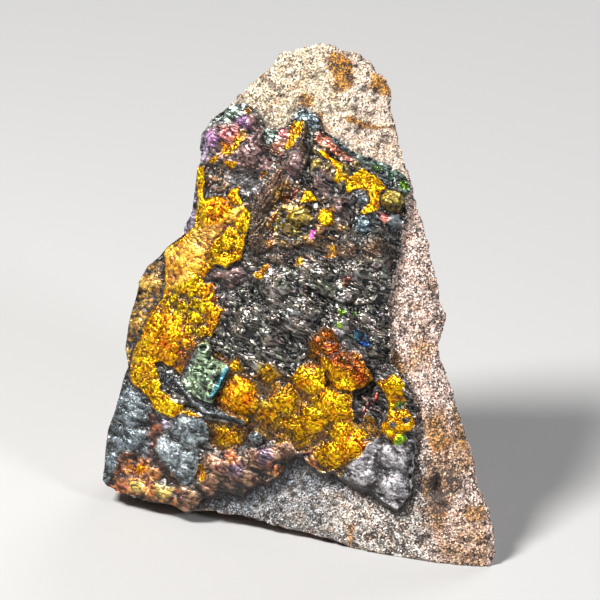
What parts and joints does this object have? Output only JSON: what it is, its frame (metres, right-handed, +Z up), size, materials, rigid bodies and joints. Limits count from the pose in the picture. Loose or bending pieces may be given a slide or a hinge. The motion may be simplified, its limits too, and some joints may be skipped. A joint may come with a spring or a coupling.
{
  "type": "goethite mineral specimen",
  "caption": "Wedge of pale granular quartz rock with an iridescent gold and dark botryoidal goethite crust over its leaning front, standing on a flat base.",
  "frame": {"origin": "middle of the footprint's bounding box, on the ground", "axes": "+Z up, the crust faces -Y, +X to the right of a viewer who looks at the crust"},
  "size_m": [0.0896, 0.0496, 0.0961],
  "materials": {
    "matrix_rock": "matt, coarse granular quartz rock, cream to pinkish grey with dark specks and ochre stains",
    "goethite": "iridescent, metallic sheen, gold and orange with dark grey, violet and teal areas"
  },
  "bodies": {
    "root": {"matrix": "matrix_rock", "goethite_crust": "goethite"}
  },
  "joints": []
}
